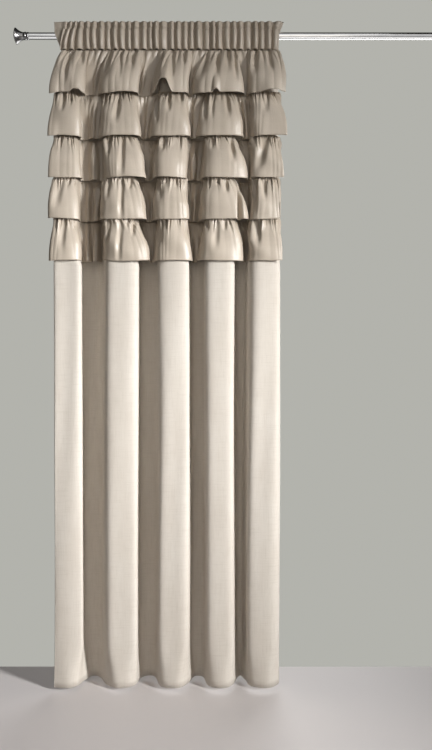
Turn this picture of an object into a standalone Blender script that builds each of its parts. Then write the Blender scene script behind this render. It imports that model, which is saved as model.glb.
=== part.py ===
"""A curtain panel in five deep folds, with a gathered rod pocket and five tiers of ruffles, hung on a steel rod.

Metres, +Z up. The origin is on the rod's axis, at the middle of its length. The front of the cloth faces -Y.
"""

import math
import random
from collections import namedtuple

import bmesh
import bpy

# Driving dimensions
ROD_RADIUS = 0.0125
ROD_LENGTH = 1.600
CLOTH = 0.0015
GAP = 0.0003
SEAM_GAP = 0.0012

HEADING_TOP = 0.0506
STITCH_HEIGHT = 0.0236
SEAM_HEIGHT = -0.0574
HEM_HEIGHT = -2.4494
PANEL_LEFT = -0.7036
PANEL_DEPTH = 0.0525
SIDE_DRIFT = 0.0025
DRIFT_TURN = 1.7
CLOSED_SHARE = 0.20
OPENING_DROP = 0.100
SPREAD_DROP = 0.165

# Where the cloth of the panel crosses the rod's plane, measured from its left edge. A front fold lies between
# the first and the second crossing, a valley between the second and the third, and so on. A slant of 0 is a
# flank square to the rod, and a slant of 1 is a straight slope. Behind the ruffles the seams draw a front fold
# in on each side by the last column, and there it is less deep and flatter in front.
Crossing = namedtuple("Crossing", "x slant drawn")
CROSSINGS = (
    Crossing(0.0000, 0.00, 0.006),
    Crossing(0.1184, 0.55, 0.012),
    Crossing(0.1943, 0.35, 0.006),
    Crossing(0.3233, 0.00, 0.006),
    Crossing(0.3916, 0.00, 0.004),
    Crossing(0.5130, 0.15, 0.012),
    Crossing(0.5775, 0.00, 0.004),
    Crossing(0.6856, 0.00, 0.004),
    Crossing(0.7388, 0.35, 0.016),
    Crossing(0.8533, 0.00, 0.006),
)
HALF_FOLDS = len(CROSSINGS) - 1
DRAWN_DEPTH = 0.0065
DRAWN_FLAT = 0.5
DRAWN_TO = -0.830
FREE_FROM = -0.900

# The strip of the heading at each height, bottom to top: how far each layer stands off the rod's plane, where
# its ends are, how deep the pleats of one layer are, and how far both layers sway together.
Level = namedtuple("Level", "z off left right pleat sway")
HEADING_LEVELS = (
    Level(SEAM_HEIGHT, 0.0028, -0.6735, 0.1466, 0.004, 0.0025),
    Level(-0.0300, 0.0120, -0.6840, 0.1470, 0.010, 0.0000),
    Level(0.0020, 0.0160, -0.6960, 0.1485, 0.011, 0.0000),
    Level(0.0145, 0.0115, -0.6980, 0.1520, 0.008, 0.0010),
    Level(STITCH_HEIGHT, 0.0030, -0.7000, 0.1545, 0.001, 0.0036),
    Level(HEADING_TOP, 0.0036, -0.7025, 0.1674, 0.001, 0.0048),
)
PLEATS = 32
COLUMNS_A_PLEAT = 3
PLEAT_LEAN = 0.12
PLEAT_UNEVEN = 0.16

# One row for each tier, top first: its seam, its hem, and where each front fold has flared to at the hem, as
# the left and right side of each fold from the panel's left edge.
Tier = namedtuple("Tier", "seam hem folds")
TIERS = (
    Tier(-0.0606, -0.2373, ((-0.006, 0.150), (0.164, 0.345), (0.366, 0.513), (0.525, 0.717), (0.731, 0.872))),
    Tier(-0.2273, -0.4031, ((-0.011, 0.119), (0.165, 0.329), (0.355, 0.515), (0.539, 0.717), (0.746, 0.877))),
    Tier(-0.3931, -0.5580, ((-0.010, 0.175), (0.187, 0.352), (0.369, 0.551), (0.563, 0.733), (0.744, 0.868))),
    Tier(-0.5480, -0.7072, ((-0.009, 0.163), (0.177, 0.353), (0.372, 0.543), (0.555, 0.732), (0.743, 0.859))),
    Tier(-0.6972, -0.8620, ((-0.010, 0.155), (0.190, 0.363), (0.377, 0.528), (0.549, 0.716), (0.735, 0.859))),
)
RUFFLE_FRONT = 0.070
RUFFLE_BACK = 0.023
PUFF = 1.7
FLUTE_PITCH = 0.045
FLUTE_DEPTH = 0.007
FLUTE_UNEVEN = 2.5
FLUTED_FROM = 0.2
FLUTED_TO = 0.9
HEM_UNEVEN = 0.003
SEAM_OFFSET = 0.0040

PANEL_COLUMNS = 7
PANEL_HEIGHTS = (
    SEAM_HEIGHT - SEAM_GAP, -0.083, -0.118, -0.165, -0.222, DRAWN_TO, FREE_FROM, -1.60, -2.10, HEM_HEIGHT
)
CREST_COLUMNS = 14
VALLEY_COLUMNS = 5
RUFFLE_ROWS = 3

# The finial's outline from the rod's end outwards: how far along the rod, and its radius there.
Turned = namedtuple("Turned", "along radius")
FINIAL_PROFILE = (
    Turned(0.0000, 0.0138),
    Turned(0.0060, 0.0138),
    Turned(0.0070, 0.0122),
    Turned(0.0095, 0.0122),
    Turned(0.0105, 0.0150),
    Turned(0.0140, 0.0150),
    Turned(0.0165, 0.0132),
    Turned(0.0250, 0.0146),
    Turned(0.0340, 0.0185),
    Turned(0.0415, 0.0236),
    Turned(0.0465, 0.0286),
    Turned(0.0485, 0.0290),
    Turned(0.0515, 0.0225),
    Turned(0.0555, 0.0100),
    Turned(0.0567, 0.0000),
)
FINIAL_STEPS = 24
TIP_MERGE = 0.00005
ROD_SIDES = 32
ROD_EDGE_DEGREES = 40


def clear_scene():
    for obj in list(bpy.data.objects):
        bpy.data.objects.remove(obj)


def material(name, colour, roughness, metallic):
    made = bpy.data.materials.new(name)
    made.use_nodes = True
    shader = made.node_tree.nodes["Principled BSDF"]
    shader.inputs["Base Color"].default_value = (*colour, 1.0)
    shader.inputs["Roughness"].default_value = roughness
    shader.inputs["Metallic"].default_value = metallic
    return made


def smoothstep(low, high, value):
    t = min(1.0, max(0.0, (value - low) / (high - low)))
    return t * t * (3 - 2 * t)


def mix(a, b, share):
    return a + (b - a) * share


def wobble(seed, slowest, fastest, waves=4):
    """An uneven wave between about -1 and 1, the same on each run."""
    draw = random.Random(seed)
    parts = [(draw.uniform(slowest, fastest), draw.uniform(0, 2 * math.pi)) for _ in range(waves)]
    return lambda t: sum(math.sin(rate * t + phase) for rate, phase in parts) / math.sqrt(waves)


PANEL_WOBBLE = wobble(seed=5, slowest=0.6, fastest=1.4)
PLEAT_WOBBLE = wobble(seed=11, slowest=30.0, fastest=70.0)
RUFFLE_WOBBLES = [wobble(seed=41 + index, slowest=1.5, fastest=4.5) for index in range(len(TIERS))]


def half_fold(t, left, right, depth, slants=(0.0, 0.0), flat=1.0):
    """(x, y) on the half fold between two crossings: t runs from 0 at the left to 1, and flat under 1 squares it."""
    angle = math.pi * (t - 0.5)
    across = mix(math.sin(angle), 2 * angle / math.pi, slants[0] if angle < 0 else slants[1])
    return (left + right) / 2 + (right - left) / 2 * across, depth * max(0.0, math.cos(angle)) ** flat


def half_fold_at(u):
    """The half fold that u is on, counted from the left edge, and how far along it u is."""
    first = min(int(u), HALF_FOLDS - 1)
    return first, u - first


def drawn_in(z):
    """1 behind the ruffles, and 0 where the panel hangs free below them."""
    return smoothstep(FREE_FROM, DRAWN_TO, z)


def panel_crossing(index, z):
    crossing = CROSSINGS[index]
    top = HEADING_LEVELS[0]
    inwards = 1 if index % 2 == 0 else -1
    at_top = mix(top.left, top.right, crossing.x / CROSSINGS[-1].x)
    lower = PANEL_LEFT + crossing.x + inwards * crossing.drawn * drawn_in(z)
    return mix(at_top, lower, smoothstep(0.0, SPREAD_DROP, SEAM_HEIGHT - z))


def panel_point(u, z):
    """(x, y) of the panel at this height, where u counts half folds from its left edge."""
    first, t = half_fold_at(u)
    drawn = drawn_in(z)
    slants = [CROSSINGS[index].slant * (1 - drawn) for index in (first, first + 1)]
    opened = mix(CLOSED_SHARE, 1.0, smoothstep(0.0, OPENING_DROP, SEAM_HEIGHT - z))
    if first % 2:
        depth, flat = PANEL_DEPTH * opened, 1.0
    else:
        depth, flat = -(PANEL_DEPTH - DRAWN_DEPTH * drawn) * opened, mix(1.0, DRAWN_FLAT, drawn)
    x, y = half_fold(t, panel_crossing(first, z), panel_crossing(first + 1, z), depth, slants, flat)
    drift = SIDE_DRIFT * PANEL_WOBBLE(u + DRIFT_TURN * z) * (1 - drawn)
    return x + drift, y


def in_front_of_panel(u, z, offset):
    """A point that stands off the panel's front by this much."""
    step = 0.02
    x0, y0 = panel_point(max(0.0, u - step), z)
    x1, y1 = panel_point(min(float(HALF_FOLDS), u + step), z)
    along = math.hypot(x1 - x0, y1 - y0)
    x, y = panel_point(u, z)
    return x + offset * (y1 - y0) / along, y - offset * (x1 - x0) / along


def ruffle_hem_point(u, tier):
    """(x, y) of a tier's hem from above without its flutes, how far across its half fold it is, and the width."""
    first, t = half_fold_at(u)
    sides = [PANEL_LEFT + side for fold in tier.folds for side in fold]
    left, right = sides[first], sides[first + 1]
    if first % 2:
        x, y = half_fold(t, left, right, RUFFLE_BACK)
    else:
        x, y = half_fold(t, left, right, -RUFFLE_FRONT, (DRAWN_FLAT, DRAWN_FLAT), DRAWN_FLAT)
    return x, y, (x - left) / (right - left), right - left


def ruffle_point(u, v, tier, wobbled):
    """A point on a ruffle: u counts half folds from the left, and v runs from 0 at the seam to 1 at the hem."""
    uneven = wobbled(u)
    z = mix(tier.seam, tier.hem + HEM_UNEVEN * uneven, v)
    seam_x, seam_y = in_front_of_panel(u, tier.seam, SEAM_OFFSET)
    hem_x, hem_y, across, width = ruffle_hem_point(u, tier)
    x = mix(seam_x, hem_x, v)
    y = mix(seam_y, hem_y, 1 - (1 - v) ** PUFF)
    phase = 2 * math.pi * width / FLUTE_PITCH * across + FLUTE_UNEVEN * uneven
    at_front = smoothstep(FLUTED_FROM, FLUTED_TO, -hem_y / RUFFLE_FRONT)
    y -= FLUTE_DEPTH * math.sin(phase) * at_front * v
    return x, y, z


def heading_point(u, w):
    """A point on the heading's strip: u runs from 0 at its left to 1, and w up the front and down the back."""
    count = len(HEADING_LEVELS)
    place = int(round(w * (2 * count - 1)))
    front = place < count
    level = HEADING_LEVELS[place if front else 2 * count - 1 - place]
    side = -1 if front else 1
    lean = PLEAT_LEAN * (level.z - SEAM_HEIGHT) / (HEADING_TOP - SEAM_HEIGHT)
    wave = math.cos(2 * math.pi * (PLEATS * u + PLEAT_UNEVEN * PLEAT_WOBBLE(u) + lean))
    off = level.off + level.pleat * (0.5 - 0.5 * side * wave)
    return mix(level.left, level.right, u), side * off - level.sway * wave, level.z


def sheet(name, columns, rows, place, finish, collection):
    """A sheet of cloth: a grid whose points place(u, v) sets, with u and v from 0 to 1, given the cloth's thickness."""
    mesh = bpy.data.meshes.new(name)
    grid = bmesh.new()
    bmesh.ops.create_grid(grid, x_segments=columns, y_segments=rows, size=0.5)
    for vert in grid.verts:
        vert.co = place(vert.co.x + 0.5, vert.co.y + 0.5)
    grid.to_mesh(mesh)
    grid.free()
    mesh.materials.append(finish)
    mesh.shade_smooth()
    obj = bpy.data.objects.new(name, mesh)
    collection.objects.link(obj)
    thicken = obj.modifiers.new("thickness", "SOLIDIFY")
    thicken.thickness = CLOTH
    thicken.offset = 0.0
    thicken.use_even_offset = False
    return obj


def build_panel(finish, collection):
    rows = len(PANEL_HEIGHTS) - 1

    def place(u, v):
        z = PANEL_HEIGHTS[int(round(v * rows))]
        x, y = panel_point(u * HALF_FOLDS, z)
        return x, y, z

    return sheet("panel", PANEL_COLUMNS * HALF_FOLDS, rows, place, finish, collection)


def ruffle_columns():
    """The u of each column of a ruffle: more on a front fold than in a valley."""
    places = [0.0]
    for half in range(HALF_FOLDS):
        count = VALLEY_COLUMNS if half % 2 else CREST_COLUMNS
        places += [half + (step + 1) / count for step in range(count)]
    return places


def build_ruffle(name, tier, wobbled, finish, collection):
    columns = ruffle_columns()
    last = len(columns) - 1

    def place(u, v):
        return ruffle_point(columns[int(round(u * last))], v, tier, wobbled)

    return sheet(name, last, RUFFLE_ROWS, place, finish, collection)


def build_heading(finish, collection):
    rows = 2 * len(HEADING_LEVELS) - 1
    return sheet("heading", PLEATS * COLUMNS_A_PLEAT, rows, heading_point, finish, collection)


def build_rod(finish, collection):
    bpy.ops.mesh.primitive_cylinder_add(
        vertices=ROD_SIDES, radius=ROD_RADIUS, depth=ROD_LENGTH, rotation=(0, math.pi / 2, 0)
    )
    obj = bpy.context.active_object
    obj.name = "rod"
    obj.data.materials.append(finish)
    obj.data.shade_smooth()
    obj.data.set_sharp_from_angle(angle=math.radians(ROD_EDGE_DEGREES))
    for other in list(obj.users_collection):
        other.objects.unlink(obj)
    collection.objects.link(obj)
    return obj


def build_finial(name, side, finish, collection):
    """A turned end: its outline is spun about the rod's axis, and side is -1 at the left end and 1 at the right."""
    mesh = bpy.data.meshes.new(name)
    outline = bmesh.new()
    # The outline runs from the tip back to the flat end that faces the rod, which the last point closes.
    points = [(row.radius, 0, row.along) for row in reversed(FINIAL_PROFILE)] + [(0, 0, 0)]
    verts = [outline.verts.new(point) for point in points]
    for first, second in zip(verts, verts[1:]):
        outline.edges.new((first, second))
    outline.to_mesh(mesh)
    outline.free()
    mesh.materials.append(finish)
    obj = bpy.data.objects.new(name, mesh)
    collection.objects.link(obj)
    obj.location = (side * (ROD_LENGTH / 2 + GAP), 0, 0)
    obj.rotation_euler = (0, side * math.pi / 2, 0)
    spin = obj.modifiers.new("turned", "SCREW")
    spin.steps = spin.render_steps = FINIAL_STEPS
    spin.use_merge_vertices = True
    spin.merge_threshold = TIP_MERGE
    spin.use_smooth_shade = True
    return obj


def build():
    clear_scene()
    collection = bpy.data.collections.new("ruffled_curtain_panel_on_rod")
    bpy.context.scene.collection.children.link(collection)
    cream = material("cream_cloth", colour=(0.84, 0.78, 0.70), roughness=0.75, metallic=0.0)
    beige = material("beige_cloth", colour=(0.42, 0.34, 0.26), roughness=0.45, metallic=0.0)
    steel = material("steel", colour=(0.62, 0.61, 0.60), roughness=0.22, metallic=1.0)
    build_panel(cream, collection)
    build_heading(beige, collection)
    for index, tier in enumerate(TIERS):
        build_ruffle(f"ruffle_{index + 1}", tier, RUFFLE_WOBBLES[index], beige, collection)
    build_rod(steel, collection)
    build_finial("finial_left", -1, steel, collection)
    build_finial("finial_right", 1, steel, collection)


build()
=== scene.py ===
import math
import random
from collections import namedtuple

import bmesh
import bpy
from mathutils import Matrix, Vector, noise


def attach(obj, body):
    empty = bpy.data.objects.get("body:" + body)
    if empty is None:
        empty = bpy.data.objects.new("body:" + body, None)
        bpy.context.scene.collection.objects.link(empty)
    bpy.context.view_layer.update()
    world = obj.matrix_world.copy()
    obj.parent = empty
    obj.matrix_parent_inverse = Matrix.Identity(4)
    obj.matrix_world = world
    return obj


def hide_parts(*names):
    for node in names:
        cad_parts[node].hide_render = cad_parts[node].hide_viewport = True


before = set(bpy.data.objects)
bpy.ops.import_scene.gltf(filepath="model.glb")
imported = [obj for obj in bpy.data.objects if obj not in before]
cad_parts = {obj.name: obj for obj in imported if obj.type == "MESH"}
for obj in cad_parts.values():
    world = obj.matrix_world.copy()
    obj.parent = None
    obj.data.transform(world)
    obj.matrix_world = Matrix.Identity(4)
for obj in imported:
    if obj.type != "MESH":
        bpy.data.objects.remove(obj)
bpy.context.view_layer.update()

# Camera: it looks level along +Y, at the photograph's distance and framing
CAMERA_PLACE = (-0.0901, -2.535, -1.2859)
CAMERA_LENS = 32.069
SENSOR = 36.0

# The main dimensions, the same as the solids'
ROD_LENGTH = 1.600
GAP = 0.0003
CLOTH = 0.0015
HEADING_TOP = 0.0506
STITCH_HEIGHT = 0.0236
SEAM_HEIGHT = -0.0574
HEM_HEIGHT = -2.4494
PANEL_LEFT = -0.7036
PANEL_DEPTH = 0.0525
HEADING_LEFT = -0.6735
HEADING_RIGHT = 0.1466

# The panel: how far below the heading its folds reach their full depth and their full spread, how far it is tucked
# up at the seam, and how its folds drift sideways on their way down
OPENING_DROP = 0.850
SPREAD_DROP = 0.165
SEAM_TUCK = 0.004
SIDE_DRIFT = 0.0025
DRIFT_TURN = 1.7

# Where the panel crosses the rod's plane, from its left edge, and how far the corner in front of it stands in from
# there: where the panel hangs free, at its hem, and on the ruffles. The seams behind the ruffles draw it in.
Crossing = namedtuple("Crossing", "x inset hem lobe drawn")
CROSSINGS = (
    Crossing(0.0100, 0.003, 0.003, 0.012, 0.004),
    Crossing(0.1050, -0.014, 0.012, -0.018, 0.020),
    Crossing(0.1880, 0.016, 0.028, 0.012, 0.006),
    Crossing(0.3190, -0.006, 0.004, -0.012, 0.012),
    Crossing(0.3955, 0.000, 0.004, 0.012, 0.006),
    Crossing(0.5120, -0.001, 0.014, -0.008, 0.014),
    Crossing(0.5730, 0.002, 0.006, 0.012, 0.006),
    Crossing(0.6850, 0.002, 0.010, -0.005, 0.008),
    Crossing(0.7320, 0.004, 0.012, 0.004, 0.016),
    Crossing(0.8533, 0.005, 0.008, 0.000, 0.006),
)
HALF_FOLDS = len(CROSSINGS) - 1

# How square a fold is, across it and in depth: 1 is round. The panel hangs free, is drawn in behind the ruffles, and
# is rounder at its hem. A lobe is a ruffle's front fold, and a crevice is the valley between two lobes.
Squareness = namedtuple("Squareness", "across depth")
FREE_CREST = Squareness(0.50, 0.40)
FREE_VALLEY = Squareness(0.75, 0.55)
DRAWN_CREST = Squareness(1.00, 0.50)
DRAWN_VALLEY = Squareness(1.00, 0.45)
HEM_CREST = Squareness(0.95, 0.80)
HEM_VALLEY = Squareness(1.00, 0.75)
LOBE = Squareness(0.85, 0.42)
CREVICE = Squareness(1.00, 0.35)

# The valleys reach under the lobes by this share of how far the lobes stand out over them
UNDERCUT = 0.5

# How far above the panel's hem its folds start to round, the share of the way back that its left edge turns, how
# much shallower its folds are behind the ruffles, and the heights between which they come free
HEM_REACH = 0.16
PANEL_RETURN = 0.12
DRAWN_DEPTH = 0.0065
DRAWN_TO = -0.806
FREE_FROM = -0.872

# How far to each side of a point, in half folds, the panel's direction is measured
SLOPE_STEP = 0.02

# The panel's grid: its columns in a half fold and its rows, how many points of a half fold are worked out before
# they are spread out evenly, the length that a turn of one radian counts for in this, and the panel's fine ripples
PANEL_COLUMNS = 48
PANEL_ROWS = 90
PANEL_FINE = 96
TURN_LENGTH = 0.03
PANEL_RIPPLE = 0.0014
RIPPLE_DRIFT = 0.02

# The strip of the heading at each height, bottom to top: how far each layer stands off the rod's plane, how far its
# two ends stand out past a straight strip, how far its first pleats crowd to the right, how deep the pleats of one
# layer are, and how far both layers sway.
Level = namedtuple("Level", "z off left right crowd pleat sway")
LEVELS = (
    Level(SEAM_HEIGHT, 0.0046, 0.0190, -0.0020, -0.0100, 0.0130, 0.0020),
    Level(-0.0300, 0.0138, 0.0080, -0.0020, -0.0040, 0.0170, 0.0000),
    Level(0.0020, 0.0150, -0.0040, -0.0010, 0.0060, 0.0175, 0.0000),
    Level(0.0145, 0.0130, -0.0055, 0.0020, 0.0100, 0.0165, 0.0010),
    Level(STITCH_HEIGHT, 0.0066, -0.0070, 0.0050, 0.0130, 0.0120, 0.0030),
    Level(HEADING_TOP, 0.0070, -0.0085, 0.0170, 0.0160, 0.0100, 0.0040),
)

# The heading: its two ends, the shares of its width over which its ends widen and its pleats crowd, how far the
# frill's edge falls for each metre that it stands forward, the pleats' number and form, how uneven they are, and the
# grid
HEADING_ENDS = (-0.6940, 0.1490)
END_SHARE = 0.034
CROWDED_SHARE = 0.150
RIGHT_SHARE = 0.050
FRILL_RISE = 0.25
PLEATS = 32
PLEAT_PHASE = 0.5
PLEAT_UNEVEN = 0.09
PLEAT_SQUARE = 1.8
PLEAT_BIAS = 0.60
PLEAT_ROUNDING = 0.35
PLEAT_BOW = 0.07
PLEAT_SIZE_UNEVEN = 0.16
END_PLEAT = 0.15
PLEAT_COLUMNS = 20
HEADING_ROWS = 26

# One row for each tier of ruffles, top first: its seam and hem, how far forward and back the hem reaches, where each
# front fold has flared to at the hem, the dents in each front fold, the flutes in each valley, which reach forward,
# and the places where the hem is lifted. All are measured from the panel's left edge. A dent runs from its place at
# the seam towards its place at the hem, and fades at this share of the way.
Tier = namedtuple("Tier", "seam hem front back folds dents valleys lifts")
Dent = namedtuple("Dent", "top low width depth end")
Flute = namedtuple("Flute", "x width reach")
Lift = namedtuple("Lift", "x width rise forward")
TIERS = (
    Tier(
        -0.0606, -0.2345, -0.060, 0.005,
        ((-0.006, 0.110), (0.166, 0.322), (0.370, 0.508), (0.521, 0.718), (0.729, 0.871)),
        (
            (Dent(0.062, 0.047, 0.018, 0.018, 0.90), Dent(0.110, 0.110, 0.018, 0.016, 0.50)),
            (
                Dent(0.213, 0.187, 0.028, 0.018, 0.80),
                Dent(0.258, 0.254, 0.014, 0.007, 0.95),
                Dent(0.295, 0.306, 0.016, 0.014, 0.55),
            ),
            (
                Dent(0.395, 0.388, 0.014, 0.010, 0.30),
                Dent(0.454, 0.443, 0.018, 0.018, 0.85),
                Dent(0.491, 0.499, 0.014, 0.014, 0.45),
            ),
            (
                Dent(0.584, 0.543, 0.026, 0.016, 0.85),
                Dent(0.621, 0.614, 0.016, 0.018, 0.85),
                Dent(0.658, 0.662, 0.016, 0.009, 0.60),
                Dent(0.684, 0.691, 0.014, 0.014, 0.85),
            ),
            (Dent(0.765, 0.747, 0.022, 0.014, 0.70), Dent(0.810, 0.825, 0.018, 0.016, 0.65)),
        ),
        (
            (Flute(0.152, 0.009, 0.016),),
            (Flute(0.334, 0.008, 0.014), Flute(0.360, 0.005, 0.008)),
            (Flute(0.513, 0.004, 0.010), Flute(0.530, 0.004, 0.008)),
            (),
        ),
        (
            Lift(0.000, 0.024, -0.006, 0.000),
            Lift(0.092, 0.018, 0.010, 0.002),
            Lift(0.418, 0.023, 0.042, 0.020),
            Lift(0.613, 0.010, 0.010, 0.004),
            Lift(0.823, 0.034, 0.005, 0.004),
        ),
    ),
    Tier(
        -0.2190, -0.3960, -0.062, 0.014,
        ((-0.012, 0.098), (0.170, 0.324), (0.359, 0.512), (0.540, 0.714), (0.744, 0.876)),
        (
            (Dent(0.043, 0.036, 0.016, 0.014, 0.55), Dent(0.069, 0.069, 0.011, 0.007, 0.40)),
            (
                Dent(0.199, 0.187, 0.014, 0.009, 0.40),
                Dent(0.254, 0.232, 0.022, 0.018, 0.80),
                Dent(0.295, 0.299, 0.012, 0.009, 0.20),
            ),
            (
                Dent(0.395, 0.388, 0.016, 0.016, 0.80),
                Dent(0.439, 0.436, 0.016, 0.016, 0.55),
                Dent(0.480, 0.491, 0.014, 0.009, 0.30),
            ),
            (
                Dent(0.576, 0.565, 0.018, 0.016, 0.80),
                Dent(0.602, 0.595, 0.014, 0.011, 0.70),
                Dent(0.654, 0.665, 0.018, 0.018, 0.65),
            ),
            (Dent(0.802, 0.791, 0.022, 0.010, 0.60),),
        ),
        (
            (Flute(0.149, 0.011, 0.026),),
            (Flute(0.349, 0.005, 0.010),),
            (Flute(0.532, 0.006, 0.014),),
            (Flute(0.730, 0.005, 0.010),),
        ),
        (Lift(0.000, 0.024, -0.005, 0.000),),
    ),
    Tier(
        -0.3880, -0.5520, -0.066, 0.023,
        ((-0.009, 0.101), (0.186, 0.348), (0.369, 0.503), (0.556, 0.732), (0.741, 0.866)),
        (
            (Dent(0.032, 0.028, 0.013, 0.009, 0.35), Dent(0.073, 0.073, 0.013, 0.009, 0.30)),
            (
                Dent(0.213, 0.206, 0.016, 0.009, 0.60),
                Dent(0.265, 0.262, 0.018, 0.013, 1.20),
                Dent(0.332, 0.343, 0.014, 0.009, 0.40),
            ),
            (Dent(0.417, 0.406, 0.016, 0.013, 0.45), Dent(0.391, 0.384, 0.014, 0.009, 0.60)),
            (Dent(0.602, 0.595, 0.016, 0.007, 0.40), Dent(0.669, 0.684, 0.018, 0.020, 0.70)),
            (Dent(0.799, 0.762, 0.032, 0.018, 0.95), Dent(0.847, 0.854, 0.012, 0.007, 0.40)),
        ),
        ((Flute(0.150, 0.012, 0.031),), (Flute(0.367, 0.005, 0.008),), (Flute(0.528, 0.007, 0.018),), ()),
        (),
    ),
    Tier(
        -0.5450, -0.7072, -0.068, 0.033,
        ((-0.007, 0.098), (0.175, 0.349), (0.372, 0.509), (0.548, 0.734), (0.741, 0.854)),
        (
            (
                Dent(0.036, 0.017, 0.026, 0.009, 0.90),
                Dent(0.065, 0.065, 0.011, 0.011, 0.25),
                Dent(0.087, 0.087, 0.011, 0.009, 0.25),
            ),
            (
                Dent(0.213, 0.202, 0.016, 0.009, 0.60),
                Dent(0.262, 0.262, 0.016, 0.013, 1.20),
                Dent(0.295, 0.291, 0.013, 0.014, 0.35),
                Dent(0.343, 0.350, 0.013, 0.014, 0.90),
            ),
            (Dent(0.406, 0.399, 0.026, 0.008, 0.80), Dent(0.465, 0.473, 0.011, 0.007, 0.30)),
            (
                Dent(0.591, 0.584, 0.013, 0.009, 0.30),
                Dent(0.621, 0.617, 0.011, 0.011, 0.25),
                Dent(0.651, 0.654, 0.016, 0.018, 0.45),
                Dent(0.700, 0.703, 0.014, 0.034, 3.00),
            ),
            (Dent(0.758, 0.754, 0.020, 0.016, 0.90), Dent(0.791, 0.795, 0.016, 0.014, 0.60)),
        ),
        (
            (Flute(0.126, 0.006, 0.022), Flute(0.158, 0.008, 0.040)),
            (Flute(0.365, 0.005, 0.010),),
            (Flute(0.530, 0.008, 0.020),),
            (),
        ),
        (),
    ),
    Tier(
        -0.6972, -0.8620, -0.070, 0.041,
        ((-0.006, 0.100), (0.184, 0.360), (0.378, 0.522), (0.547, 0.714), (0.733, 0.857)),
        (
            (Dent(0.047, 0.039, 0.022, 0.009, 0.90), Dent(0.091, 0.091, 0.011, 0.011, 0.35)),
            (
                Dent(0.213, 0.202, 0.016, 0.014, 0.70),
                Dent(0.258, 0.254, 0.018, 0.011, 1.20),
                Dent(0.284, 0.284, 0.011, 0.011, 0.25),
                Dent(0.310, 0.299, 0.015, 0.018, 0.50),
            ),
            (Dent(0.406, 0.395, 0.028, 0.009, 0.70), Dent(0.502, 0.513, 0.013, 0.007, 0.50)),
            (
                Dent(0.580, 0.573, 0.013, 0.011, 0.35),
                Dent(0.614, 0.610, 0.022, 0.011, 0.85),
                Dent(0.647, 0.647, 0.013, 0.016, 0.35),
            ),
            (Dent(0.765, 0.765, 0.024, 0.018, 0.75), Dent(0.799, 0.795, 0.011, 0.007, 0.25)),
        ),
        (
            (Flute(0.125, 0.006, 0.024), Flute(0.156, 0.008, 0.044)),
            (),
            (Flute(0.538, 0.007, 0.014),),
            (Flute(0.728, 0.005, 0.010),),
        ),
        (),
    ),
)

# A ruffle's seam: how far it stands off the panel, and how far the first tier's is tucked up under the heading
SEAM_OFFSET = 0.0032
FIRST_TIER_TUCK = 0.006

# A ruffle's form from seam to hem: how early its lobes and valleys puff out and its folds flare, how far its hem
# curls in and from which share of the drop, the share of the way back that its two outer edges turn, how its hem
# rises towards the valleys and wavers, and how square a lift is
PUFF = 2.3
VALLEY_PUFF = 4.5
FLARE = 1.8
HEM_CURL = 0.004
CURL_FROM = 0.6
EDGE_RETURN = 0.08
HEM_RISE = 0.09
HEM_UNEVEN = 0.0015
LIFT_SQUARE = 4

# A dent's form: how wide and how round it is at the seam, the share of the drop at which it has become round, the
# shares over which it sets in, the share of its length at which it starts to fade, and the share of a front fold, at
# each of its sides, over which dents ease out
DENT_TOP_WIDTH = 0.7
DENT_ROUNDNESS = 0.35
DENT_ROUND_FROM = 0.4
DENT_START = (-0.04, 0.14)
DENT_FADE = 0.4
DENT_MARGIN = 0.15

# How the ruffles keep in front of the panel. Its front is measured in steps across it, from FRONT_MARGIN steps
# before its left edge on, with FRONT_SAMPLES points in a half fold. A ruffle's creases end CLEARANCE in front of it,
# but each may be LEAST_ROOM deep. A point that is up to MOVED_FULLY behind that distance is then moved to it. One
# further behind is moved less, and from MOVED_AT_MOST on it stays. The middle of a valley stands at least
# VALLEY_CLEARANCE in front of the panel before the gathers are added.
FRONT_STEP = 0.002
FRONT_STEPS = 480
FRONT_MARGIN = 20
FRONT_SAMPLES = 50
CLEARANCE = 0.0026
MOVED_FULLY = 0.009
MOVED_AT_MOST = 0.018
VALLEY_CLEARANCE = 0.0045
LEAST_ROOM = 0.0004

# The ruffles' grid
CREST_COLUMNS = 90
VALLEY_COLUMNS = 36
RUFFLE_ROWS = 44
ROW_CROWDING = 1.3

# Gathers: fine pinches at the seam, and broader tucks that run further down. Both are uneven in pitch and in length.
# An uneven wave makes a pinch shortest where it is below the first of PINCH_LENGTHS, and longest above the second.
# Both fade from a share of their length on, and are weaker in the valleys. PINCH_REST is the height between a ridge
# and a groove that leaves the cloth where it is.
Stitching = namedtuple("Stitching", "pinch pitch tuck uneven rise reach")
FIRST_STITCHING = Stitching(0.0040, 0.0263, 0.0130, 0.15, 0.012, 0.070)
LOWER_STITCHING = Stitching(0.0085, 0.0200, 0.0050, 0.60, 0.016, 0.060)
PINCH_PITCH = 0.0105
PINCH_REST = 0.4
PINCH_RISE = 0.003
PINCH_SHORTEST = 0.014
PINCH_LONGEST = 0.075
PINCH_LENGTHS = (-0.6, 1.3)
PINCH_DRIFT = 0.05
PINCH_UNEVEN = 0.55
PINCH_SIZE_UNEVEN = 0.35
PINCH_FADE = 0.25
VALLEY_PINCH = 0.45
TUCK_REACH_UNEVEN = 0.4
TUCK_FADE = 0.3
TUCK_LOST = 0.85

# Crumples: broad soft dips that slant across the ruffles, weaker at the hem
CRUMPLE_ACROSS = 13.0
CRUMPLE_DOWN = 9.0
CRUMPLE_SLANT = 7.0
CRUMPLE_APART = 10.0
CRUMPLE_START = (0.05, 0.35)
CRUMPLE_AT_HEM = 0.6
CRUMPLE_DEPTH = 0.0130

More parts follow.
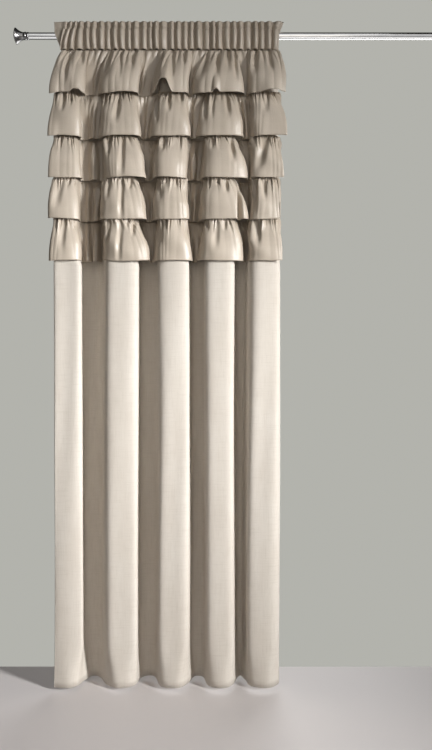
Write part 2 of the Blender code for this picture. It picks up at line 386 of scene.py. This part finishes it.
# The finial's outline from the rod's end outwards
Turned = namedtuple("Turned", "along radius")
FINIAL_PROFILE = (
    Turned(0.0000, 0.0138),
    Turned(0.0060, 0.0138),
    Turned(0.0070, 0.0122),
    Turned(0.0095, 0.0122),
    Turned(0.0105, 0.0150),
    Turned(0.0140, 0.0150),
    Turned(0.0165, 0.0132),
    Turned(0.0250, 0.0146),
    Turned(0.0340, 0.0185),
    Turned(0.0415, 0.0236),
    Turned(0.0465, 0.0286),
    Turned(0.0485, 0.0290),
    Turned(0.0515, 0.0225),
    Turned(0.0555, 0.0100),
    Turned(0.0567, 0.0000),
)
FINIAL_STEPS = 96
FINIAL_MERGE = 0.00005

# The floor, which ends where the wall stands, and the studio. The world lights the scene by this share of the
# strength with which it shows.
FLOOR_HEIGHT = -2.462
FLOOR_BACK = 0.16
FLOOR_FRONT = -1.4
FLOOR_SIDE = 2.4
FLOOR_COLOUR = (0.66, 0.62, 0.61, 1.0)
FLOOR_ROUGHNESS = 0.6
WORLD_COLOUR = (0.450, 0.450, 0.415, 1.0)
WORLD_LIGHT = 0.09

# The studio's lights. A card only shows in reflections, as white card beside polished metal does in a studio.
WIDE = 180.0
WHITE = (1.0, 1.0, 1.0)
Light = namedtuple("Light", "name place target size power spread colour card")
LIGHTS = (
    Light("key", (3.05, -2.5, -0.5), (-1.4, 0.0, -1.66), (0.5, 1.6), 35.0, 50.0, WHITE, False),
    Light("fill", (-0.1, -3.6, -1.0), (-0.3, 0.0, -1.3), (2.4, 2.6), 16.0, WIDE, (1.0, 0.93, 0.84), False),
    Light("overhead", (-0.3, -1.5, 1.2), (-0.3, 0.0, -0.6), (2.6, 0.6), 5.0, WIDE, WHITE, False),
    Light("back", (0.8, 3.0, -1.2), (-0.3, 0.0, -1.2), (2.4, 2.0), 75.0, WIDE, WHITE, False),
    Light("front card", (0.3, -1.8, 0.2), (0.3, 0.0, 0.0), (3.2, 1.7), 12.0, WIDE, WHITE, True),
    Light("left card", (-0.9, 0.0, -0.36), (-0.9, 0.0, 0.0), (0.36, 0.7), 0.5, WIDE, WHITE, True),
    Light("right card", (0.62, 0.0, -0.36), (0.62, 0.0, 0.0), (0.9, 0.7), 1.4, WIDE, WHITE, True),
)

# The patterns in the velvet and the steel: how many times each repeats in a metre in the three directions, how fine
# and how rough its noise is, and the values of the noise from which it starts to show and shows fully
Pattern = namedtuple("Pattern", "repeats detail roughness start full")
CLOUDS = Pattern((9.0, 3.0, 1.0), 3.0, 0.55, 0.35, 0.65)
STREAKS = Pattern((70.0, 2.2, 1.0), 4.0, 0.55, 0.45, 0.75)
FIBRES = Pattern((900.0, 260.0, 1.0), 3.0, 0.60, 0.50, 0.80)
UPRIGHT_SLUBS = Pattern((260.0, 14.0, 1.0), 2.0, 0.55, 0.48, 0.72)
LEVEL_SLUBS = Pattern((14.0, 260.0, 1.0), 2.0, 0.55, 0.50, 0.74)
MARKS = Pattern((20.0, 400.0, 400.0), 2.0, 0.55, 0.35, 0.65)
SMEARS = Pattern((18.0, 18.0, 18.0), 3.0, 0.55, 0.30, 0.70)

# The velvet: how much the streaks and fibres darken it, between which values of their noise the streaks change its
# roughness and by how much, how much its threads waver, and the height of its pile
STREAK_SHARE = 0.6
FIBRE_SHARE = 0.35
STREAK_RANGE = (0.3, 0.7)
STREAK_ROUGHNESS = (-0.05, 0.07)
THREAD_WAVER = 0.4
PILE_HEIGHT = 0.0002
SHEEN_ROUGHNESS = 0.45

# The two velvets: thread is the pitch of the threads, pile the strength of the relief, and slub how much the
# thicker threads darken the cloth
Velvet = namedtuple("Velvet", "light shade deep roughness gloss sheen thread pile slub")
CREAM_VELVET = Velvet(
    light=(0.615, 0.569, 0.509), shade=(0.575, 0.524, 0.462), deep=(0.45, 0.400, 0.340),
    roughness=0.72, gloss=0.4, sheen=0.12, thread=0.0011, pile=0.5, slub=0.30,
)
BEIGE_VELVET = Velvet(
    light=(0.520, 0.452, 0.375), shade=(0.433, 0.372, 0.302), deep=(0.28, 0.233, 0.182),
    roughness=0.34, gloss=0.55, sheen=0.04, thread=0.0009, pile=0.25, slub=0.08,
)

# The steel of the finials and of the rod, and how much rougher it is where it is smeared
Steel = namedtuple("Steel", "roughness dark light")
TURNED_STEEL = Steel(roughness=0.28, dark=(0.22, 0.22, 0.23), light=(0.31, 0.30, 0.29))
DRAWN_STEEL = Steel(roughness=0.12, dark=(0.72, 0.72, 0.73), light=(0.86, 0.85, 0.84))
SMEARED = 0.06

# How many radians the wave texture turns in a metre at a scale of 1
WAVE_RATE = 20.0


def smoothstep(low, high, value):
    """An eased step from 0 at low to 1 at high, which may be the lower of the two."""
    t = min(1.0, max(0.0, (value - low) / (high - low)))
    return t * t * (3 - 2 * t)


def mix(a, b, share):
    return a + (b - a) * share


def wobble(seed, slowest, fastest, waves=4):
    """An uneven wave between about -1 and 1, the same on each run."""
    draw = random.Random(seed)
    parts = [(draw.uniform(slowest, fastest), draw.uniform(0, 2 * math.pi)) for _ in range(waves)]
    return lambda t: sum(math.sin(rate * t + phase) for rate, phase in parts) / math.sqrt(waves)


def ridge(turns):
    """1 on a rounded ridge at each whole number of turns, and 0 in the sharp groove between two ridges."""
    return abs(math.cos(math.pi * turns))


PANEL_WOBBLE = wobble(seed=5, slowest=0.6, fastest=1.4)
RIPPLE_WOBBLE = wobble(seed=7, slowest=60.0, fastest=190.0)
RIPPLE_TURN = wobble(seed=8, slowest=1.0, fastest=3.0)
PLEAT_WOBBLE = wobble(seed=11, slowest=30.0, fastest=70.0)
PLEAT_BEND = wobble(seed=12, slowest=40.0, fastest=90.0)
PLEAT_SIZE = wobble(seed=13, slowest=60.0, fastest=120.0)


def half_fold(t, left, right, depth, squareness, insets):
    """(x, y) on the half fold between two crossings: t runs from 0 at the left to 1."""
    angle = math.pi * (t - 0.5)
    side = 1 if angle > 0 else -1
    across = side * abs(math.sin(angle)) ** squareness.across
    away = max(0.0, math.cos(angle)) ** squareness.depth
    x = (left + right) / 2 + ((right - left) / 2 - insets[angle > 0] * away) * across
    return x, depth * away


def half_fold_at(u):
    """The half fold that u is on, counted from the left edge, and how far along it u is."""
    first = min(int(u), HALF_FOLDS - 1)
    return first, u - first


def drawn_in(z):
    """1 behind the ruffles, and 0 where the panel hangs free below them."""
    return smoothstep(FREE_FROM, DRAWN_TO, z)


def panel_crossing(index, z):
    crossing = CROSSINGS[index]
    inwards = 1 if index % 2 == 0 else -1
    at_top = mix(HEADING_LEFT, HEADING_RIGHT, crossing.x / CROSSINGS[-1].x)
    lower = PANEL_LEFT + crossing.x + inwards * crossing.drawn * drawn_in(z)
    return mix(at_top, lower, smoothstep(0.0, SPREAD_DROP, SEAM_HEIGHT - z))


def between(first, second, share):
    return type(first)(*(mix(a, b, share) for a, b in zip(first, second)))


def panel_point(u, z):
    """(x, y) of the panel at this height, where u counts half folds from its left edge."""
    first, t = half_fold_at(u)
    drawn = drawn_in(z)
    loose = smoothstep(HEM_HEIGHT + HEM_REACH, HEM_HEIGHT, z)
    sides = CROSSINGS[first], CROSSINGS[first + 1]
    insets = [mix(side.inset, side.hem, loose) * (1 - drawn) for side in sides]
    opened = math.sin(math.pi / 2 * min(1.0, max(0.0, SEAM_HEIGHT - z) / OPENING_DROP))
    if first % 2:
        depth, free, hem, behind = PANEL_DEPTH * opened, FREE_VALLEY, HEM_VALLEY, DRAWN_VALLEY
    else:
        depth = -(PANEL_DEPTH - DRAWN_DEPTH * drawn) * opened
        free, hem, behind = FREE_CREST, HEM_CREST, DRAWN_CREST
    squareness = between(between(free, hem, loose), behind, drawn)
    x, y = half_fold(t, panel_crossing(first, z), panel_crossing(first + 1, z), depth, squareness, insets)
    if u < 0.5:
        y = mix(depth, y, PANEL_RETURN)
    drift = SIDE_DRIFT * PANEL_WOBBLE(u + DRIFT_TURN * z) * (1 - drawn)
    return x + drift, y


def in_front_of_panel(u, z, offset):
    """A point that stands off the panel's front by this much."""
    x0, y0 = panel_point(max(0.0, u - SLOPE_STEP), z)
    x1, y1 = panel_point(min(float(HALF_FOLDS), u + SLOPE_STEP), z)
    along = math.hypot(x1 - x0, y1 - y0)
    x, y = panel_point(u, z)
    return x + offset * (y1 - y0) / along, y - offset * (x1 - x0) / along


def ruffle_hem_point(u, tier):
    """(x, y) of a tier's hem from above, without its flutes."""
    first, t = half_fold_at(u)
    sides = [PANEL_LEFT + side for fold in tier.folds for side in fold]
    left, right = sides[first], sides[first + 1]
    if first % 2:
        insets = [min(0.0, CROSSINGS[first + end].lobe) * UNDERCUT for end in (0, 1)]
        x, y = half_fold(t, left, right, tier.back, CREVICE, insets)
        for flute in tier.valleys[first // 2]:
            y -= flute.reach * math.exp(-((x - PANEL_LEFT - flute.x) / flute.width) ** 2)
        return x, y
    x, y = half_fold(t, left, right, tier.front, LOBE, (CROSSINGS[first].lobe, CROSSINGS[first + 1].lobe))
    if u < 0.5 or u > HALF_FOLDS - 0.5:
        y = mix(tier.front, y, EDGE_RETURN)
    return x, y


def dented(x, v, dents):
    """How far the dents of a front fold take it in: each is a crease at the seam that widens and fades below it."""
    depth = 0.0
    for dent in dents:
        off = min(1.0, abs(x - mix(dent.top, dent.low, v)) / (dent.width * mix(DENT_TOP_WIDTH, 1.0, v)))
        rounded = 0.5 + 0.5 * math.cos(math.pi * off)
        shape = mix(1 - off, rounded, mix(DENT_ROUNDNESS, 1.0, smoothstep(0.0, DENT_ROUND_FROM, v)))
        fade = 1 - smoothstep(DENT_FADE * dent.end, dent.end, v)
        depth += dent.depth * shape * smoothstep(*DENT_START, v) * fade
    return depth


Gathers = namedtuple("Gathers", "pitch length drift size tuck")


def gathers_for(seed):
    return Gathers(
        pitch=wobble(seed, slowest=25.0, fastest=110.0),
        length=wobble(seed + 1, slowest=90.0, fastest=260.0),
        drift=wobble(seed + 2, slowest=30.0, fastest=80.0),
        size=wobble(seed + 3, slowest=150.0, fastest=400.0),
        tuck=wobble(seed + 4, slowest=20.0, fastest=60.0),
    )


def pinches(arc, drop, gathers, stitching):
    """How far the gathers stand out, at this place along the seam and this far below it."""
    bent = arc + PINCH_DRIFT * drop * gathers.drift(arc)
    turns = bent / PINCH_PITCH + PINCH_UNEVEN * gathers.pitch(bent)
    longest = mix(PINCH_SHORTEST, PINCH_LONGEST, smoothstep(*PINCH_LENGTHS, gathers.length(arc)))
    risen = smoothstep(0.0, PINCH_RISE, drop + PINCH_RISE / 2)
    fade = risen * (1 - smoothstep(PINCH_FADE * longest, longest, drop))
    fine = stitching.pinch * (1 + PINCH_SIZE_UNEVEN * gathers.size(arc)) * fade * (ridge(turns) - PINCH_REST)
    tucks = bent / stitching.pitch + stitching.uneven * gathers.tuck(bent)
    reach = stitching.reach * (1 + TUCK_REACH_UNEVEN * gathers.length(arc))
    grown = smoothstep(0.0, stitching.rise, drop) * (1 - TUCK_LOST * smoothstep(TUCK_FADE * reach, reach, drop))
    return fine + stitching.tuck * grown * (ridge(tucks) - PINCH_REST)


def spaced(first, last, count, crowding=1.0):
    return [mix(first, last, (step / count) ** crowding) for step in range(count + 1)]


def ruffle_columns():
    """The u of each column of a ruffle."""
    places = [0.0]
    for half in range(HALF_FOLDS):
        count = VALLEY_COLUMNS if half % 2 else CREST_COLUMNS
        places += [half + (step + 1) / count for step in range(count)]
    return places


def horizontal_normals(row):
    """For each point of a row of cloth, the level direction that it faces on its front."""
    normals = []
    for index in range(len(row)):
        before, after = row[max(0, index - 1)], row[min(len(row) - 1, index + 1)]
        along = (after - before).xy.normalized()
        normals.append(Vector((along.y, -along.x, 0.0)))
    return normals


def front_step(x):
    return min(FRONT_STEPS - 1, max(0, int((x - PANEL_LEFT) / FRONT_STEP + FRONT_MARGIN)))


def panel_fronts(z):
    """The panel's nearest y to the front, for each step across it at this height."""
    fronts = [0.0] * FRONT_STEPS
    samples = [panel_point(index / FRONT_SAMPLES, z) for index in range(FRONT_SAMPLES * HALF_FOLDS + 1)]
    for (x0, y0), (x1, y1) in zip(samples, samples[1:]):
        for step in range(front_step(min(x0, x1)), front_step(max(x0, x1)) + 1):
            fronts[step] = min(fronts[step], y0, y1)
    return fronts


def front_at(fronts, x):
    """The panel's nearest y to the front at this x, eased from each step to the next."""
    place = (x - PANEL_LEFT) / FRONT_STEP + FRONT_MARGIN - 0.5
    first = min(FRONT_STEPS - 2, max(0, int(place)))
    return mix(fronts[first], fronts[first + 1], min(1.0, max(0.0, place - first)))


def pressed(out, room):
    """The same way out, but never further in than this room allows."""
    return out if out >= 0 else -room * math.tanh(-out / room)


def lifted(hem_x, lifts):
    """How far the lifts raise a ruffle's hem at this place, and how far they bring it forward."""
    rise, forward = 0.0, 0.0
    for lift in lifts:
        share = math.exp(-abs((hem_x - PANEL_LEFT - lift.x) / lift.width) ** LIFT_SQUARE)
        rise += lift.rise * share
        forward += (lift.forward + HEM_CURL) * share
    return rise, forward


def ruffle_points(number, tier):
    """The rows of points of a ruffle, seam first."""
    gathers = gathers_for(100 * number)
    stitching = FIRST_STITCHING if number == 1 else LOWER_STITCHING
    seam = tier.seam + (FIRST_TIER_TUCK if number == 1 else 0.0)
    columns = ruffle_columns()
    seam_line = [in_front_of_panel(u, seam, SEAM_OFFSET) for u in columns]
    hem_line = [ruffle_hem_point(u, tier) for u in columns]
    inwards = [smoothstep(tier.front, tier.back, y) for x, y in hem_line]
    arc = [0.0]
    for before, after in zip(seam_line, seam_line[1:]):
        arc.append(arc[-1] + math.dist(before, after))
    rows = []
    for v in spaced(0.0, 1.0, RUFFLE_ROWS, ROW_CROWDING):
        row = []
        for index, u in enumerate(columns):
            (seam_x, seam_y), (hem_x, hem_y) = seam_line[index], hem_line[index]
            rise, forward = lifted(hem_x, tier.lifts)
            hem = tier.hem + HEM_UNEVEN * gathers.tuck(arc[index]) + HEM_RISE * (hem_y - tier.front) + rise
            x = mix(seam_x, hem_x, 1 - (1 - v) ** FLARE)
            y = mix(seam_y, hem_y, 1 - (1 - v) ** mix(PUFF, VALLEY_PUFF, inwards[index]))
            y += (HEM_CURL * (1 - inwards[index]) - forward) * smoothstep(CURL_FROM, 1.0, v)
            z = mix(seam, hem, v)
            half, t = half_fold_at(u)
            if half % 2:
                y = min(y, panel_point(u, z)[1] - VALLEY_CLEARANCE * math.sin(math.pi * t))
            row.append(Vector((x, y, z)))
        fronts = panel_fronts(row[0].z)
        crumple = CRUMPLE_DEPTH * smoothstep(*CRUMPLE_START, v) * mix(1.0, CRUMPLE_AT_HEM, v)
        for index, normal in enumerate(horizontal_normals(row)):
            point = row[index]
            out = pinches(arc[index], seam - point.z, gathers, stitching) * mix(1.0, VALLEY_PINCH, inwards[index])
            half, t = half_fold_at(columns[index])
            if half % 2 == 0:
                edge = smoothstep(0.0, DENT_MARGIN, t) * (1 - smoothstep(1 - DENT_MARGIN, 1.0, t))
                out -= dented(point.x - PANEL_LEFT, v, tier.dents[half // 2]) * edge
            slanted = arc[index] * CRUMPLE_ACROSS + point.z * CRUMPLE_SLANT
            out += crumple * noise.noise((slanted, point.z * CRUMPLE_DOWN, number * CRUMPLE_APART))
            room = fronts[front_step(point.x)] - CLEARANCE - point.y
            point += normal * pressed(out, max(LEAST_ROOM, room))
            behind = point.y + CLEARANCE - front_at(fronts, point.x)
            if behind > 0:
                point.y -= behind * smoothstep(MOVED_AT_MOST, MOVED_FULLY, behind)
        rows.append(row)
    return rows


def respaced(line, count):
    """The same line through count + 1 points, evenly spread but closer together where it turns."""
    steps = [after - before for before, after in zip(line, line[1:])]
    along = [0.0]
    for step, following in zip(steps, steps[1:] + steps[-1:]):
        along.append(along[-1] + step.length + TURN_LENGTH * step.angle(following, 0.0))
    spread, index = [], 0
    for place in spaced(0.0, along[-1], count):
        while index < len(steps) - 1 and along[index + 1] < place:
            index += 1
        share = (place - along[index]) / (along[index + 1] - along[index])
        spread.append(line[index] + steps[index] * min(1.0, share))
    return spread


def panel_points():
    rows = []
    for z in spaced(SEAM_HEIGHT + SEAM_TUCK, HEM_HEIGHT, PANEL_ROWS):
        row = []
        for half in range(HALF_FOLDS):
            fine = [Vector((*panel_point(half + t, z), z)) for t in spaced(0.0, 1.0, PANEL_FINE)[:-1]]
            fine.append(Vector((*panel_point(half + 1.0, z), z)))
            row += respaced(fine, PANEL_COLUMNS)[half > 0:]
        for index, normal in enumerate(horizontal_normals(row)):
            u = index / PANEL_COLUMNS
            row[index] += normal * PANEL_RIPPLE * RIPPLE_WOBBLE(u / HALF_FOLDS + RIPPLE_DRIFT * RIPPLE_TURN(z))
        rows.append(row)
    return rows


def level_at(place):
    """The heading's level at this place between 0 at its seam and 1 at its top, eased from each level to the next."""
    along = place * (len(LEVELS) - 1)
    first = min(int(along), len(LEVELS) - 2)
    share = along - first
    before, after = LEVELS[max(0, first - 1)], LEVELS[min(len(LEVELS) - 1, first + 2)]
    values = []
    for p0, p1, p2, p3 in zip(before, LEVELS[first], LEVELS[first + 1], after):
        values.append(0.5 * (2 * p1 + (p2 - p0) * share + (2 * p0 - 5 * p1 + 4 * p2 - p3) * share ** 2
                             + (3 * p1 - p0 - 3 * p2 + p3) * share ** 3))
    return Level(*values)


def heading_points():
    """The rows of points of the heading: up its front and down its back."""
    columns = PLEATS * PLEAT_COLUMNS
    rows = []
    places = spaced(0.0, 1.0, HEADING_ROWS)
    for side, place in [(-1, place) for place in places] + [(1, place) for place in reversed(places)]:
        level = level_at(place)
        height = (level.z - SEAM_HEIGHT) / (HEADING_TOP - SEAM_HEIGHT)
        row = []
        for index in range(columns + 1):
            u = index / columns
            bend = PLEAT_BOW * PLEAT_BEND(u) * math.sin(math.pi * height)
            turns = PLEATS * u + PLEAT_PHASE + PLEAT_UNEVEN * PLEAT_WOBBLE(u) + bend
            rounded = math.cos(2 * math.pi * turns)
            wave = mix(math.tanh(PLEAT_SQUARE * (rounded + PLEAT_BIAS)), rounded, PLEAT_ROUNDING)
            size = 1 + PLEAT_SIZE_UNEVEN * PLEAT_SIZE(u)
            size *= mix(END_PLEAT, 1.0, smoothstep(0.5 * END_SHARE, END_SHARE, u))
            off = level.off + level.pleat * size * (0.5 - 0.5 * side * wave)
            y = side * off - level.sway * wave * size
            x = mix(*HEADING_ENDS, u) + level.left * smoothstep(END_SHARE, 0.0, u)
            x += level.crowd * smoothstep(0.0, END_SHARE, u) * smoothstep(CROWDED_SHARE, END_SHARE, u)
            x += level.right * smoothstep(1 - RIGHT_SHARE, 1.0, u)
            frill = max(0.0, (level.z - STITCH_HEIGHT) / (HEADING_TOP - STITCH_HEIGHT))
            row.append(Vector((x, y, level.z + FRILL_RISE * frill * y)))
        rows.append(row)
    return rows


def cloth(name, rows, finish):
    """A sheet of cloth with these rows of points. It keeps each point's place on the flat cloth, in metres."""
    down, across = len(rows) - 1, len(rows[0]) - 1
    middle = rows[len(rows) // 2]
    along = [0.0]
    for before, after in zip(middle, middle[1:]):
        along.append(along[-1] + (after - before).length)
    drop = [0.0]
    for before, after in zip(rows, rows[1:]):
        drop.append(drop[-1] + (after[0] - before[0]).length)
    mesh = bpy.data.meshes.new(name)
    # A square grid with sides of 1, whose points are then put in their places
    grid = bmesh.new()
    bmesh.ops.create_grid(grid, x_segments=across, y_segments=down, size=0.5)
    flat = []
    for vert in grid.verts:
        column, row = round((vert.co.x + 0.5) * across), round((vert.co.y + 0.5) * down)
        vert.co = rows[row][column]
        flat += [along[column], drop[row], 0.0]
    grid.to_mesh(mesh)
    grid.free()
    mesh.attributes.new("flat", "FLOAT_VECTOR", "POINT").data.foreach_set("vector", flat)
    mesh.materials.append(finish)
    mesh.shade_smooth()
    obj = bpy.data.objects.new(name, mesh)
    bpy.context.scene.collection.objects.link(obj)
    thicken = obj.modifiers.new("thickness", "SOLIDIFY")
    thicken.thickness = CLOTH
    thicken.offset = 0.0
    thicken.use_even_offset = False
    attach(obj, "root")
    return obj


def add(tree, kind, links=(), **values):
    """A node of this kind, with its sockets set by name and linked from (socket, name of this node's input)."""
    node = tree.nodes.new(kind)
    for name, value in values.items():
        if hasattr(node, name):
            setattr(node, name, value)
        else:
            node.inputs[name.replace("_", " ").title()].default_value = value
    for source, target in links:
        tree.links.new(source, node.inputs[target])
    return node


def noise_of(tree, place, pattern):
    """The pattern's noise, stretched as the pattern says."""
    mapping = add(tree, "ShaderNodeMapping", [(place, "Vector")])
    mapping.inputs["Scale"].default_value = pattern.repeats
    return add(tree, "ShaderNodeTexNoise", [(mapping.outputs["Vector"], "Vector")],
               scale=1.0, detail=pattern.detail, roughness=pattern.roughness).outputs["Fac"]


def remapped(tree, value, low, high, to_low=0.0, to_high=1.0):
    node = add(tree, "ShaderNodeMapRange", [(value, "Value")])
    node.inputs["From Min"].default_value = low
    node.inputs["From Max"].default_value = high
    node.inputs["To Min"].default_value = to_low
    node.inputs["To Max"].default_value = to_high
    return node.outputs["Result"]


def shown(tree, value, pattern, share=1.0):
    """How much of the pattern shows where its noise has this value: up to this share."""
    return remapped(tree, value, pattern.start, pattern.full, to_high=share)


def blended(tree, share, first, second):
    """A colour between two colours, or between a colour and a socket's."""
    node = tree.nodes.new("ShaderNodeMix")
    node.data_type = "RGBA"
    tree.links.new(share, node.inputs[0])
    for value, target in ((first, node.inputs[6]), (second, node.inputs[7])):
        if hasattr(value, "node"):
            tree.links.new(value, target)
        else:
            target.default_value = (*value, 1.0)
    return node.outputs[2]


def threads(tree, place, direction, pitch):
    """A wave across the cloth with one crest for each thread."""
    bands = add(tree, "ShaderNodeTexWave", [(place, "Vector")])
    bands.bands_direction = direction
    bands.inputs["Scale"].default_value = 2 * math.pi / (WAVE_RATE * pitch)
    bands.inputs["Distortion"].default_value = THREAD_WAVER
    return bands.outputs["Fac"]


def cloth_material(name, velvet):
    """Velvet: nap that lies in cloudy upright streaks, a fine weave under it, and a soft sheen."""
    made = bpy.data.materials.new(name)
    made.use_nodes = True
    tree = made.node_tree
    shader = tree.nodes["Principled BSDF"]
    flat = add(tree, "ShaderNodeAttribute", attribute_name="flat").outputs["Vector"]
    clouds = noise_of(tree, flat, CLOUDS)
    streaks = noise_of(tree, flat, STREAKS)
    fibres = noise_of(tree, flat, FIBRES)
    upright = noise_of(tree, flat, UPRIGHT_SLUBS)
    level = noise_of(tree, flat, LEVEL_SLUBS)
    colour = blended(tree, shown(tree, clouds, CLOUDS), velvet.light, velvet.shade)
    colour = blended(tree, shown(tree, streaks, STREAKS, STREAK_SHARE), colour, velvet.shade)
    colour = blended(tree, shown(tree, upright, UPRIGHT_SLUBS, velvet.slub), colour, velvet.deep)
    colour = blended(tree, shown(tree, level, LEVEL_SLUBS, velvet.slub), colour, velvet.deep)
    colour = blended(tree, shown(tree, fibres, FIBRES, FIBRE_SHARE), colour, velvet.deep)
    tree.links.new(colour, shader.inputs["Base Color"])
    smoothest, roughest = [velvet.roughness + change for change in STREAK_ROUGHNESS]
    rough = remapped(tree, streaks, *STREAK_RANGE, to_low=smoothest, to_high=roughest)
    tree.links.new(rough, shader.inputs["Roughness"])
    warp = threads(tree, flat, "X", velvet.thread)
    weft = threads(tree, flat, "Y", velvet.thread)
    weave = add(tree, "ShaderNodeMath", [(warp, 0), (weft, 1)], operation="ADD")
    relief = add(tree, "ShaderNodeMath", [(weave.outputs[0], 0), (fibres, 1)], operation="ADD")
    bump = add(tree, "ShaderNodeBump", [(relief.outputs[0], "Height")])
    bump.inputs["Strength"].default_value = velvet.pile
    bump.inputs["Distance"].default_value = PILE_HEIGHT
    tree.links.new(bump.outputs["Normal"], shader.inputs["Normal"])
    shader.inputs["Specular IOR Level"].default_value = velvet.gloss
    shader.inputs["Sheen Weight"].default_value = velvet.sheen
    shader.inputs["Sheen Roughness"].default_value = SHEEN_ROUGHNESS
    shader.inputs["Sheen Tint"].default_value = (*velvet.light, 1.0)
    return made


def steel_material(name, steel):
    """Polished steel with the fine marks of drawing and turning."""
    made = bpy.data.materials.new(name)
    made.use_nodes = True
    tree = made.node_tree
    shader = tree.nodes["Principled BSDF"]
    shader.inputs["Metallic"].default_value = 1.0
    place = add(tree, "ShaderNodeTexCoord").outputs["Object"]
    marks = noise_of(tree, place, MARKS)
    smears = noise_of(tree, place, SMEARS)
    tone = blended(tree, shown(tree, marks, MARKS), steel.dark, steel.light)
    tree.links.new(tone, shader.inputs["Base Color"])
    roughest = steel.roughness + SMEARED
    rough = remapped(tree, smears, SMEARS.start, SMEARS.full, to_low=steel.roughness, to_high=roughest)
    tree.links.new(rough, shader.inputs["Roughness"])
    return made


def finial(node, side, finish):
    """A turned end, with more steps than the solid that it stands for."""
    mesh = bpy.data.meshes.new(node + "_turned")
    outline = bmesh.new()
    points = [(row.radius, 0, row.along) for row in reversed(FINIAL_PROFILE)] + [(0, 0, 0)]
    verts = [outline.verts.new(point) for point in points]
    for first, second in zip(verts, verts[1:]):
        outline.edges.new((first, second))
    outline.to_mesh(mesh)
    outline.free()
    mesh.materials.append(finish)
    obj = bpy.data.objects.new(node + "_turned", mesh)
    bpy.context.scene.collection.objects.link(obj)
    obj.location = (side * (ROD_LENGTH / 2 + GAP), 0, 0)
    obj.rotation_euler = (0, side * math.pi / 2, 0)
    spin = obj.modifiers.new("turned", "SCREW")
    spin.steps = spin.render_steps = FINIAL_STEPS
    spin.use_merge_vertices = True
    spin.merge_threshold = FINIAL_MERGE
    spin.use_smooth_shade = True
    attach(obj, "root")
    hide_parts(node)


def area_light(light):
    data = bpy.data.lights.new(light.name, "AREA")
    data.shape = "RECTANGLE"
    data.size, data.size_y = light.size
    data.energy = light.power
    data.color = light.colour
    data.spread = math.radians(light.spread)
    lamp = bpy.data.objects.new(light.name, data)
    bpy.context.scene.collection.objects.link(lamp)
    lamp.location = light.place
    lamp.visible_camera = False
    lamp.visible_diffuse = not light.card
    lamp.rotation_euler = (Vector(light.target) - Vector(light.place)).to_track_quat("-Z", "Y").to_euler()


def set_stage():
    bpy.ops.mesh.primitive_plane_add(size=1.0)
    floor = bpy.context.active_object
    floor.name = "floor"
    floor.location = (0.0, (FLOOR_FRONT + FLOOR_BACK) / 2, FLOOR_HEIGHT)
    floor.scale = (2 * FLOOR_SIDE, FLOOR_BACK - FLOOR_FRONT, 1.0)
    pale = bpy.data.materials.new("pale_floor")
    pale.use_nodes = True
    shader = pale.node_tree.nodes["Principled BSDF"]
    shader.inputs["Base Color"].default_value = FLOOR_COLOUR
    shader.inputs["Roughness"].default_value = FLOOR_ROUGHNESS
    floor.data.materials.append(pale)
    world = bpy.data.worlds.new("studio")
    world.use_nodes = True
    tree = world.node_tree
    background = tree.nodes["Background"]
    background.inputs["Color"].default_value = WORLD_COLOUR
    seen = tree.nodes.new("ShaderNodeLightPath").outputs["Is Camera Ray"]
    strength = remapped(tree, seen, 0.0, 1.0, to_low=WORLD_LIGHT)
    tree.links.new(strength, background.inputs["Strength"])
    bpy.context.scene.world = world
    bpy.context.scene.view_settings.view_transform = "Standard"
    for light in LIGHTS:
        area_light(light)


def set_camera():
    data = bpy.data.cameras.new("camera")
    data.lens = CAMERA_LENS
    data.sensor_width = SENSOR
    camera = bpy.data.objects.new("camera", data)
    bpy.context.scene.collection.objects.link(camera)
    camera.location = CAMERA_PLACE
    camera.rotation_euler = (math.pi / 2, 0.0, 0.0)
    bpy.context.scene.camera = camera


def build():
    set_camera()
    set_stage()
    cream = cloth_material("cream_velvet", CREAM_VELVET)
    beige = cloth_material("beige_velvet", BEIGE_VELVET)
    turned = steel_material("turned_steel", TURNED_STEEL)
    drawn = steel_material("drawn_steel", DRAWN_STEEL)
    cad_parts["rod"].data.materials[0] = drawn
    panel = cloth("panel_cloth", panel_points(), cream)
    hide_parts("panel")
    heading = cloth("heading_cloth", heading_points(), beige)
    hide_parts("heading")
    for number, tier in enumerate(TIERS, start=1):
        ruffle = cloth(f"ruffle_{number}_cloth", ruffle_points(number, tier), beige)
        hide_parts(f"ruffle_{number}")
    finial("finial_left", -1, turned)
    finial("finial_right", 1, turned)


build()
